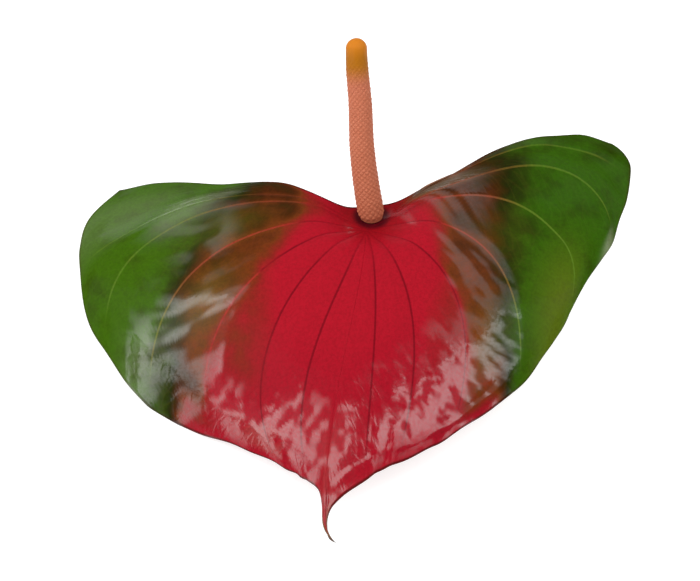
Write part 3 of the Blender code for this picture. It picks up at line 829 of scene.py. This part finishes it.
def spathe_under_material():
    material, tree, shader, read = new_material(
        "matt_spathe_underside",
        {"IOR": 1.42, "Specular IOR Level": 0.35, "Coat Weight": 0.15, "Coat Roughness": 0.3},
        ("belt", "vein_gap"), grain_mm=8.0, detail=4.0,
    )
    tissue = lay_over(tree, tones_along(tree, read["belt"], UNDER_TONES), (
        # The same 8 mm mottling as on top, then the ribs under the veins.
        (read["cloud"], (0.35, 0.65, 0.0, 0.3), "#9a7058"),
        (read["vein_gap"], (0.3, 1.1, 0.5, 0.0), "#a09868"),
    ))
    set_finish(tree, shader, tissue, read["cloud"], 0.5, 0.6)
    return material


make_piece(
    "spathe_blade", spathe_points, spathe_faces, (spathe_top_material(), spathe_under_material()),
    spathe_sides, spathe_fields, "spathe",
)

# %% [markdown]
# ## The spadix
#
# The spadix is a fleshy spike packed with tiny four-sided florets in slanting
# rows, and smooth at its tip, where they haven't opened. Placing hundreds of
# small solids would be heavy, so the florets are relief on one tapered tube: each
# is a low square dome, turned by 45 degrees, with a groove all round it.

# %% Centre line of the spadix
SPADIX_LENGTH = 59.3
SPADIX_LEAN, SPADIX_BEND = 16, 20
SPADIX_SIDEWAYS = np.array((
    (0, 1.8), (0.2, 0), (0.4, -1.3), (0.65, -1.9), (0.85, -2.9), (1, -3.2),
))


def spadix_axis(share):
    """A line that leans back from 16 to 36 degrees as it rises, and sways to the left."""
    fine = np.linspace(0, 1, 400)
    lean = np.radians(SPADIX_LEAN + SPADIX_BEND * fine)
    step = SPADIX_LENGTH / (len(fine) - 1)
    back = np.concatenate([[0], np.cumsum(np.sin(lean[1:]))]) * step
    up = np.concatenate([[0], np.cumsum(np.cos(lean[1:]))]) * step
    x = curve_through(SPADIX_SIDEWAYS[:, 0], SPADIX_SIDEWAYS[:, 1:], share)[:, 0]
    y = FOOT_Y + np.interp(share, fine, back)
    return np.column_stack([x, y, FAN_HEIGHT + 0.3 + np.interp(share, fine, up)])


def side_directions(path, first):
    """Tangents of a path, the first direction squared to each of them, and their product."""
    tangent = unit(np.gradient(path, axis=0))
    side = unit(first - tangent * (tangent @ first)[:, None])
    return tangent, side, np.cross(tangent, side)


def circles(turn, side, other):
    """Unit vectors round the path: cos(turn) * side + sin(turn) * other, for each ring."""
    return np.cos(turn)[:, None] * side[:, None] + np.sin(turn)[:, None] * other[:, None]


def tube_faces(rings, sides):
    """Triangles of a closed tube with one point at each end."""
    grid = np.arange(rings * sides).reshape(rings, sides)
    a, d = grid[:-1], grid[1:]
    b, c = np.roll(a, -1, axis=1), np.roll(d, -1, axis=1)
    a, b, c, d = a.ravel(), b.ravel(), c.ravel(), d.ravel()
    first, last = grid[0], grid[-1]
    start_cap = np.column_stack([np.full(sides, rings * sides), np.roll(first, -1), first])
    end_cap = np.column_stack([np.full(sides, rings * sides + 1), last, np.roll(last, -1)])
    return np.concatenate([squares(a, b, c, d), start_cap, end_cap])


# %% Thickness of the spadix
SPADIX_RINGS, SPADIX_SIDES = 432, 168
FOOT_RADIUS, TIP_RADIUS = 4.3, 3.35
ring_share = np.linspace(0, 1, SPADIX_RINGS + 1)
path = spadix_axis(ring_share)
tangent, side, other = side_directions(path, np.array((1, 0, 0)))
run = ring_share * SPADIX_LENGTH
from_tip = SPADIX_LENGTH - run
radius = FOOT_RADIUS + (TIP_RADIUS - FOOT_RADIUS) * ring_share
# The tip is half a sphere, and the foot is drawn in a little.
to_dome = np.clip(from_tip / TIP_RADIUS, 0, 1)
radius *= np.sqrt(np.clip(1 - (1 - to_dome) ** 2, 0, 1)).clip(0.05)
radius *= 1 - 0.14 * (1 - smooth_step(0, 2, run))
angle = 2 * np.pi * np.arange(SPADIX_SIDES) / SPADIX_SIDES

# %% Florets
# In millimetres: how high a crown is, how deep the groove, and how high the stigma.
FLORETS_AROUND, FLORET_PAIRS_ALONG = 14, 36
CROWN, GROOVE, POINT = 0.19, 0.095, 0.03
floret_a = (angle / (2 * np.pi) * FLORETS_AROUND)[None, :]
floret_b = (ring_share * FLORET_PAIRS_ALONG)[:, None]
# Two sets of slanting rows cross, and each crossing is one floret.
slant_one, slant_two = floret_a + floret_b, floret_a - floret_b
in_one, in_two = slant_one - np.round(slant_one), slant_two - np.round(slant_two)
dome = (1 - abs(2 * in_one) ** 2.6) * (1 - abs(2 * in_two) ** 2.6)
stigma = np.exp(-(in_one**2 + in_two**2) / 0.012)
each = soft_noise(np.round(slant_one) * 7.31, np.round(slant_two) * 5.77, 8)
opened = (smooth_step(4.5, 11, from_tip) * smooth_step(0, 1.5, run))[:, None]
relief = opened * (CROWN * dome * (1 + 0.3 * each) - GROOVE + POINT * stigma)
reach = (radius[:, None] + relief)[..., None]
ring_points = path[:, None] + reach * circles(angle, side, other)
# The lowest rings lie level, as the dish of the spathe does.
settle = (1 - smooth_step(0, 6, run))[:, None]
ring_points[..., 2] = ring_points[..., 2] * (1 - settle) + path[:, None, 2] * settle
tip_point = path[-1:] + 0.05 * tangent[-1:]
spadix_points = np.concatenate([ring_points.reshape(-1, 3), path[:1], tip_point])
print("florets:", 2 * FLORETS_AROUND * FLORET_PAIRS_ALONG)


def on_tube(values):
    """Values at the rings' points, then at the two end points."""
    values = np.broadcast_to(values, (len(ring_share), SPADIX_SIDES))
    return np.concatenate([values.ravel(), values[0, :1], values[-1, :1]])


spadix_fields = {
    "dome": on_tube(dome * opened),
    "stigma": on_tube(stigma * opened),
    "from_tip": on_tube(from_tip[:, None]),
}

# %% [markdown]
# ## Finish of the spadix
#
# Each floret is salmon pink, with painted shade in the groove round it, so its dome
# shows lighter, and darker at its stigma. The smooth tip is orange-yellow, a little
# browner lower down. This is dull, fleshy tissue with next to no wax, so it gets hardly
# any coat.


# %% Salmon florets
def spadix_material():
    material, tree, shader, read = new_material(
        "salmon_floret_flesh",
        {"IOR": 1.4, "Specular IOR Level": 0.15, "Coat Weight": 0.03, "Coat Roughness": 0.35},
        ("dome", "stigma", "from_tip"), grain_mm=2.5,
    )
    florets = lay_over(tree, "#ae6248", (
        # Lighter on each floret's dome, so the grooves keep the darker base: painted shade in the
        # grooves.
        (read["dome"], (0.1, 0.9, 0.0, 1.0), "#b86d51"),
        # Uneven flesh colour with grains about 2.5 mm wide, then the dark points.
        (read["cloud"], (0.35, 0.65, 0.0, 0.25), "#ad5f42"),
        (read["stigma"], (0.3, 0.9, 0.0, 0.16), "#98503a"),
    ))
    tissue = lay_over(tree, "#bd7016", (
        (read["from_tip"], (1.5, 7.0, 0.0, 1.0), "#9e600b"),
        (read["from_tip"], (8.0, 15.5, 0.0, 1.0), florets),
    ))
    set_finish(tree, shader, tissue, read["cloud"], 0.45, 0.6)
    return material


make_piece(
    "spadix_florets", spadix_points, tube_faces(SPADIX_RINGS + 1, SPADIX_SIDES),
    (spadix_material(),), 0, spadix_fields, "spadix",
)

# %% [markdown]
# ## The stalk
#
# The stalk is round and smooth, thickest where it joins the spathe, and it ends
# in a clean cut. It is a circle carried along a bent path. Shallow lines
# run along it, and the cut face has a paler middle.

# %% Path of the stalk
STALK_PATH = np.array((
    (1.8, 6.3, 27.8), (2.4, 7.2, 20.5), (5.6, 9.8, 11.8), (13, 14.5, 5.2),
    (25, 20.5, 2.6), (42, 28, 2.5), (60, 34.5, 2.5),
))
STALK_RADII = np.array((3.9, 3.1, 2.7, 2.6, 2.6, 2.6, 2.7))
STALK_RINGS, STALK_SIDES = 240, 96
# The stalk starts inside the thick middle of the spathe, below this height.
STALK_TOP = 27.9
# The cut face is closed by rings of these shares of the radius.
CUT_RINGS = np.array((0.96, 0.85, 0.6, 0.3))
stalk_share = np.linspace(0, 1, STALK_RINGS)
stalk_knots = np.linspace(0, 1, len(STALK_PATH))
stalk_path = curve_through(stalk_knots, STALK_PATH, stalk_share)
stalk_radius = curve_through(stalk_knots, STALK_RADII[:, None], stalk_share)[:, 0]
turn = 2 * np.pi * np.arange(STALK_SIDES) / STALK_SIDES
# Shallow lines along the stalk, a few hundredths of a millimetre deep.
lines = 0.03 * np.sin(17 * turn)[None, :] + 0.02 * np.sin(29 * turn + 1)[None, :]
stalk_reach = stalk_radius[:, None] + lines * smooth_step(0, 0.1, stalk_share)[:, None]
stalk_length = np.linalg.norm(np.diff(stalk_path, axis=0), axis=1).sum()
print("length of the stalk:", round(stalk_length), "mm")

# %% Rings of the stalk, with the cut end as rings that close in
directions = side_directions(stalk_path, np.array((0.35, -0.93, 0.1)))[1:]
ring_path, ring_side, ring_other = (
    np.concatenate([line, np.repeat(line[-1:], len(CUT_RINGS), axis=0)])
    for line in (stalk_path, *directions)
)
ring_reach = np.concatenate([stalk_reach, CUT_RINGS[:, None] * stalk_reach[-1:]])
stalk_points = ring_path[:, None] + ring_reach[..., None] * circles(turn, ring_side, ring_other)
stalk_points[..., 2] = np.clip(stalk_points[..., 2], 0, STALK_TOP)
cut_share = np.concatenate([np.zeros(STALK_RINGS), 1 - CUT_RINGS])
stalk_run = np.concatenate([stalk_share, np.ones(len(CUT_RINGS))])
stalk_fields = {
    "cut": np.append(np.repeat(cut_share, STALK_SIDES), (0, 1)),
    "stalk_run": np.append(np.repeat(stalk_run, STALK_SIDES), (0, 1)),
}
stalk_points = np.concatenate([stalk_points.reshape(-1, 3), stalk_path[:1], stalk_path[-1:]])


# %% Smooth green stalk
def stalk_material():
    material, tree, shader, read = new_material(
        "smooth_flower_stalk",
        {"IOR": 1.45, "Specular IOR Level": 0.3, "Coat Weight": 0.4, "Coat Roughness": 0.25},
        ("stalk_run", "cut"), grain_mm=10 / 3,
    )
    # Reddish under the flower and green further on, in cloudy patches about 3 mm wide.
    tissue = lay_over(tree, "#743024", (
        (read["stalk_run"], (0.05, 0.5, 0.0, 1.0), "#5c7030"),
        (read["cloud"], (0.35, 0.65, 0.0, 0.4), "#748042"),
        (read["cut"], (0.03, 0.2, 0.0, 1.0), "#b4bc84"),
    ))
    set_finish(tree, shader, tissue, read["cloud"], 0.35, 0.5)
    return material


make_piece(
    "flower_stalk", stalk_points, tube_faces(STALK_RINGS + len(CUT_RINGS), STALK_SIDES),
    (stalk_material(),), 0, stalk_fields, "peduncle",
)

# %% [markdown]
# ## Surface and light
#
# The flower lies on a plain pale card. Its shine forms a horseshoe: it lies on the
# skin that tips to the left, to the right and to the viewer, and is missing on the
# flat middle. So two very large tilted panels stand above it to the left and right,
# a softbox in front lights the steep left side, and a dim panel and a strip light
# the back. Small lights would make hard spots on wax.


# %% Surface
def make_surface(size):
    """A square card of this half width in metres, with its top at height 0."""
    mesh = bpy.data.meshes.new("surface")
    corners = [(-size, -size, 0), (size, -size, 0), (size, size, 0), (-size, size, 0)]
    mesh.from_pydata(corners, [], [(0, 1, 2, 3)])
    # The card glows a little, as if lit from below, which makes the shadow faint.
    card = {"Roughness": 0.9, "Specular IOR Level": 0.0, "Emission Strength": 0.76}
    card["Base Color"], card["Emission Color"] = colour("#b0b0b0"), colour("#ffffff")
    mesh.materials.append(new_material("matt_white_card", card)[0])
    surface = bpy.data.objects.new("surface", mesh)
    add_to_scene(surface)


make_surface(3.0)


# %% Lights
def soft_panel(name, place, target, width, depth, degrees, brightness):
    """A rectangular light that faces its target; its power is pi * brightness * area."""
    lamp = bpy.data.lights.new(name, "AREA")
    lamp.shape = "RECTANGLE"
    lamp.size, lamp.size_y = width, depth
    lamp.energy = math.pi * brightness * width * depth
    panel = bpy.data.objects.new(name, lamp)
    add_to_scene(panel)
    aim = unit(np.array(target, float) - np.array(place, float))
    level = np.array((0.0, 1.0, 0.0)) if abs(aim[2]) > 0.99 else UPWARDS
    side = unit(np.cross(aim, level))
    upward = np.cross(side, aim)
    turn = math.radians(degrees)
    turned_side = side * math.cos(turn) + upward * math.sin(turn)
    turned_up = upward * math.cos(turn) - side * math.sin(turn)
    stand = np.eye(4)
    stand[:3] = np.column_stack([turned_side, turned_up, -aim, place])
    panel.matrix_world = Matrix(stand.tolist())


# Name, place and target in metres, width and depth, turn in degrees, and brightness.
for panel in (
    ("panel_left", (-1.5, -0.08, 1.3), (-1.5, -0.08, 0.0), 2.6, 1.2, -26, 3.7),
    ("panel_right", (1.5, -0.2, 1.3), (1.5, -0.2, 0.0), 2.6, 1.2, 26, 3.7),
    ("softbox_front_left", (-1.7, -1.2, 0.75), (0.0, 0.0, 0.0), 1.3, 1.1, 0, 3.5),
    ("panel_back", (0.0, 1.15, 1.3), (0.0, 1.15, 0.0), 3.4, 2.0, 0, 0.9),
    ("strip_behind", (-0.5, 2.2, 0.6), (0.0, 0.0, 0.03), 1.8, 0.5, 0, 1.6),
):
    soft_panel(*panel)
ROOM_LIGHT = 0.05
world = bpy.data.worlds.new("dim_room")
bpy.context.scene.world = world
world.use_nodes = True
room = world.node_tree.nodes["Background"].inputs
room["Color"].default_value, room["Strength"].default_value = colour("#ffffff"), ROOM_LIGHT

# %% [markdown]
# ## Camera
#
# The picture was taken from in front and above, looking down at 45 degrees. The
# spadix is short and thick in it and the heart is squashed, which gives the angle.
# At 1.2 m a long lens keeps both lobes the same size, as they are in the picture.

# %% Camera
DISTANCE, WIDTH_IN_VIEW, SENSOR = 1.2, 0.224, 36.0
lens = bpy.data.cameras.new("camera")
lens.sensor_width = SENSOR
lens.lens = SENSOR * DISTANCE / WIDTH_IN_VIEW
lens.clip_end = 20.0
camera = bpy.data.objects.new("camera", lens)
add_to_scene(camera)
camera.location = (-0.00202, -0.82802, 0.86584)
camera.rotation_euler = (math.radians(45.0), 0.0, 0.0)
bpy.context.scene.camera = camera
bpy.context.scene.view_settings.view_transform = "Standard"
